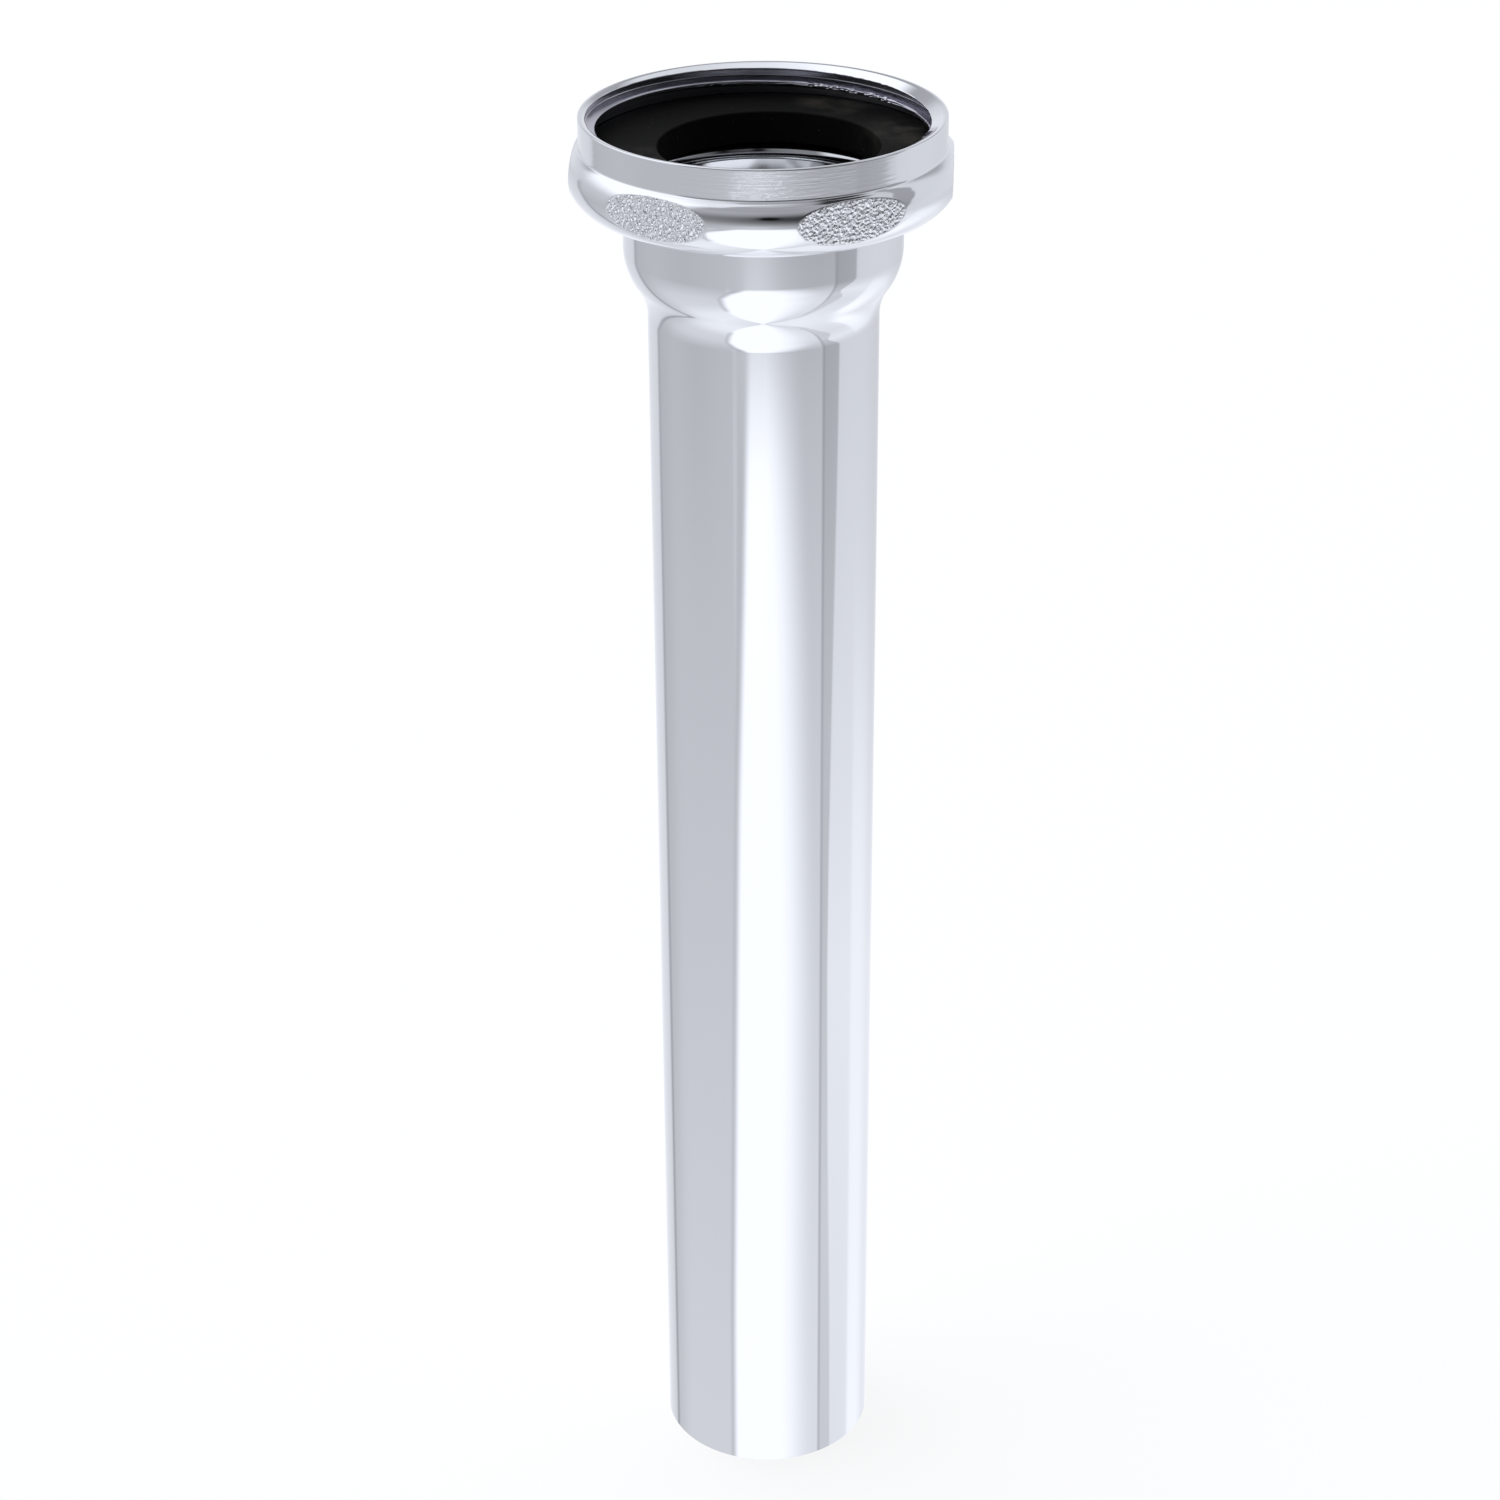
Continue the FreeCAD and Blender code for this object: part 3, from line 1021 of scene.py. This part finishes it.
@dataclass
class LightTent:
    """The white tent round the part: pale walls, a bright table in front, and the camera's darker opening."""

    radius: float = 12000.0
    columns: int = 720
    rows: int = 181
    wall: float = 0.80
    darkest: float = 0.01
    tint: Triple = (0.94, 0.962, 1.02)
    panels: tuple[Panel, ...] = (
        Panel("ground", -90, -55, -180, 180, ((-90, 0.95), (-55, 1.0)), soft_end=20),
        Panel("left_wall", -90, 26, -131, -30,
              ((-90, 0.95), (-72, 1.12), (-62, 1.08), (-50, 0.88), (-38, 0.83), (-34, 0.79), (-30, 0.74),
               (-26, 0.70), (-20, 0.65), (-10, 0.66), (10, 0.74), (26, 1.0)),
              soft_end=16),
        Panel("left_seam", -70, 4, -131, -126, 0.58, soft_right=5),
        Panel("back_left", -60, 20, -180, -133, ((-60, 0.85), (-30, 0.92), (0, 0.80)),
              soft_left=30, soft_right=4, soft_end=10),
        Panel("front_right", -90, -8, -31, 62,
              ((-90, 0.90), (-56, 0.98), (-38, 0.95), (-31, 0.86), (-25, 0.78), (-21, 0.73), (-12, 0.45)),
              soft_end=8),
        Panel("right_wall", -90, 54,
              (*POST_EDGE, (-14, 88), (8, 92), (20, 99), (32, 106), (44, 122), (54, 138)),
              180,
              ((-74, 1.12), (-56, 1.0), (-44, 0.95), (-37, 1.01), (-31, 1.06), (-25, 0.93), (-20, 0.86),
               (-14, 0.88), (40, 0.84)),
              soft_left=1.5, soft_right=30),
        Panel("right_post", -72, -10, 62, (*POST_EDGE, (-10, 84)),
              ((-60, 0.85), (-50, 0.80), (-39, 0.77), (-35, 0.81), (-30, 0.70), (-25, 0.66), (-20, 0.57),
               (-14, 0.47)),
              soft_left=1, soft_right=1.5, soft_end=8),
        Panel("right_seam", -66, -12, 60.5, 63.5,
              ((-60, 0.74), (-44, 0.66), (-38, 0.60), (-28, 0.57), (-20, 0.50)), soft_right=1.5),
        Panel("right_glow", -58, -27, 106, 136, ((-40, 1.2), (-27, 1.14)),
              soft_left=8, soft_right=30, soft_end=9),
        Panel("table_seam", -60, -20, ((-60, -49), (-37, -42), (-22, -27)), 0,
              ((-60, 0.78), (-37, 0.67), (-22, 0.63)), soft_left=4),
        Panel("table", -90, -20.4,
              ((-64, -46), (-58, -42), (-37, -37), (-28, -27.5), (-24, -20.5), (-20, -15)),
              ((-62, 35), (-44, 36), (-37, 33), (-31, 37), (-25, 30), (-20, 18)), 1.34,
              soft_left=8, soft_right=44, soft_end=4.4),
        Panel("opening", -16, 76, -54, 84,
              ((-18, 0.62), (-8, 0.57), (2, 0.46), (10, 0.35), (20, 0.28), (30, 0.29), (40, 0.42),
               (50, 0.52), (64, 0.46), (76, 0.5)),
              soft_left=14, soft_right=3, soft_end=8),
        Panel("back_top", 4, 66, 136, 216, ((10, 0.9), (19, 0.8), (27, 0.5), (39, 0.45), (47, 0.9)),
              soft_left=20, soft_right=20, soft_end=6),
        Panel("back_line", 36, 40.5, 170, 190, 0.04, soft_left=14, soft_right=14, soft_end=2),
        Panel("left_lamp", 26, 84, ((26, -140), (44, -160), (60, -172), (84, -180)),
              ((20, -98), (40, -64), (78, -64)), 1.34, soft_left=14, soft_right=20, soft_end=20),
        Panel("right_jamb", -14, 56, ((-14, 82), (26, 84), (38, 92), (50, 114)),
              ((-14, 89), (8, 93), (20, 100), (32, 107), (44, 123), (54, 138)), 0.45),
        Panel("right_slope", 42, 60, ((42, 86), (50, 102), (58, 112)), ((42, 98), (50, 114), (58, 140)),
              0.75),
        Panel("right_gap", 58, 75, 76, 124, 0.04, soft_left=16, soft_right=8, soft_end=6),
        Panel("ceiling", 68, 95, 126, 312, ((68, 1.08), (90, 0.95)),
              soft_left=14, soft_right=14, soft_end=12),
        Panel("front_ceiling", 74, 95, -48, 126, ((74, 0.38), (82, 0.58), (90, 0.7)),
              soft_left=14, soft_right=14, soft_end=6),
    )
    pools: tuple[Pool, ...] = (
        Pool("left_corner_shade", -124, -44, 16, 26, -0.13),
        Pool("left_top_shade", -70, -18, 22, 5, -0.05),
        Pool("far_left_glow", -176, -34, 16, 30, 0.25),
        Pool("far_right_shade", 166, -22, 34, 12, -0.14),
        Pool("low_right_glow", 118, -50, 18, 10, 0.10),
        Pool("opening_shade", 22, 22, 38, 30, -0.22),
        Pool("right_front_shade", 52, -3, 36, 15, -0.20),
        Pool("front_glow", -5, -13, 16, 9, 0.20),
        Pool("camera", 3, 28, 6, 7, -0.20),
        Pool("lens_bag", 37, 30, 8, 12, -0.10),
    )

    def glow(self, bearing: np.ndarray, elevation: np.ndarray) -> np.ndarray:
        """Finds how bright the tent is: each panel is laid over those before it, and the pools are added.

        Args:
            bearing: The bearing of each direction.
            elevation: The elevation of each direction.

        Returns:
            The brightness in each direction.
        """
        total = np.full(np.shape(bearing), self.wall)
        for panel in self.panels:
            share = panel.share(bearing, elevation)
            total = total * (1 - share) + along(panel.glow, elevation) * share
        return np.maximum(total + sum(pool.glow(bearing, elevation) for pool in self.pools), self.darkest)

    def build(self) -> None:
        """Makes the tent as a glowing shell far round the part, which the camera doesn't see."""
        bearings = np.linspace(-180, 180, self.columns, endpoint=False)
        bearing, elevation = np.meshgrid(bearings, np.linspace(-90, 90, self.rows), indexing="ij")
        across, up = np.radians(bearing), np.radians(elevation)
        way = np.stack([np.sin(across) * np.cos(up), -np.cos(across) * np.cos(up), np.sin(up)], axis=-1)
        points = way.reshape(-1, 3) * self.radius
        tent = add_mesh("light_tent", points, ring_quads(self.columns, self.rows, closed=False))
        glow = self.glow(bearing, elevation).reshape(-1, 1) * np.array(self.tint)
        colours = np.hstack([glow, np.ones((len(glow), 1))])
        attribute = tent.data.color_attributes.new("glow", "FLOAT_COLOR", "POINT")
        attribute.data.foreach_set("color", colours.reshape(-1))
        tent.data.materials.append(self.cloth())
        tent.visible_camera = False
        log.info("%s: %s", tent.name, ", ".join(layer.name for layer in (*self.panels, *self.pools)))

    def cloth(self) -> bpy.types.Material:
        """Dyes the lit cloth, which glows as the shell's points say.

        Returns:
            The cloth's material.
        """
        material = bpy.data.materials.new("tent_cloth")
        shader = Shader(material)
        glow = shader.node("ShaderNodeAttribute", {"attribute_name": "glow"}, {}, "Color")
        light = shader.node("ShaderNodeEmission", {}, {"Color": glow, "Strength": 1.0})
        shader.node("ShaderNodeOutputMaterial", {}, {"Surface": light})
        material.cycles.emission_sampling = "NONE"
        return material

    def backdrop(self) -> None:
        """Makes the white that the camera sees behind everything."""
        world = bpy.data.worlds.new("white_backdrop")
        bpy.context.scene.world = world
        shader = Shader(world)
        white = shader.node("ShaderNodeBackground", {}, {"Color": rgba(WHITE), "Strength": 1.0})
        shader.node("ShaderNodeOutputWorld", {}, {"Surface": white})
        world.cycles.sampling_method = "NONE"


@dataclass
class Table:
    """The plain white table that the pipe stands on."""

    half_side: float = 3000.0
    colour: Triple = (0.30, 0.30, 0.30)
    own_light: float = 0.80

    def build(self) -> None:
        """Makes the table, which the plated metal doesn't mirror, because it mirrors the tent below."""
        corners = self.half_side * np.array([(-1, -1, 0), (1, -1, 0), (1, 1, 0), (-1, 1, 0)])
        table = add_mesh("table", corners, np.array([(0, 1, 2, 3)]))
        table.data.materials.append(self.paint())
        table.visible_glossy = False

    def paint(self) -> bpy.types.Material:
        """Mixes the white paint.

        A camera, glossy or transmission ray sees a fixed share of plain light on it, as on the backdrop. The
        rest of the white is the tent's light, so the part's shadow shows.

        Returns:
            The paint's material.
        """
        material = bpy.data.materials.new("white_table")
        shader = Shader(material)
        camera, glossy, clear = (
            shader.node("ShaderNodeLightPath", {}, {}, f"Is {kind} Ray")
            for kind in ("Camera", "Glossy", "Transmission")
        )
        strength = (camera + glossy + clear) * self.own_light
        plain = shader.node("ShaderNodeEmission", {}, {"Color": rgba(WHITE), "Strength": strength})
        paint = shader.node("ShaderNodeBsdfDiffuse", {}, {"Color": rgba(self.colour)})
        both = shader.node("ShaderNodeAddShader", {}, {0: plain, 1: paint})
        shader.node("ShaderNodeOutputMaterial", {}, {"Surface": both})
        return material


@dataclass
class Viewpoint:
    """The camera, at the photograph's angle and distance."""

    back: float = 434.8
    up: float = 345.7
    turn: Triple = (62.434, 0.299, 0.136)
    lens: float = 80.48
    sensor: float = 36.0
    clip_near: float = 10.0
    clip_far: float = 50000.0

    def place(self) -> None:
        """Makes the camera and hands it to the scene."""
        data = bpy.data.cameras.new("camera")
        data.lens, data.sensor_width = self.lens, self.sensor
        data.clip_start, data.clip_end = self.clip_near * MM, self.clip_far * MM
        camera = bpy.data.objects.new("camera", data)
        camera.location = Vector((0, -self.back, self.up)) * MM
        camera.rotation_euler = Euler([math.radians(angle) for angle in self.turn])
        bpy.context.scene.collection.objects.link(camera)
        bpy.context.scene.camera = camera


def main() -> None:
    """Builds the stage and the three pieces, and puts each on its body."""
    logging.basicConfig(level=logging.INFO, format="%(message)s")
    bpy.context.scene.view_settings.view_transform = "Standard"
    Viewpoint().place()
    tent = LightTent()
    tent.build()
    tent.backdrop()
    Table().build()

    makers = (
        (TailPipe(), "tail_pipe", "pipe", "plated_tube"),
        (CouplingNut(), "coupling_nut", "nut", "plated_nut"),
        (SealingWasher(), "sealing_washer", "nut", "black_rubber"),
    )
    for maker, node, body, slot in makers:
        piece = maker.build()
        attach(piece, body)
        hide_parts(node)
        log.info("%s: %d faces, on %s, for %s", piece.name, len(piece.data.polygons), body, node)


if __name__ == "__main__":
    main()
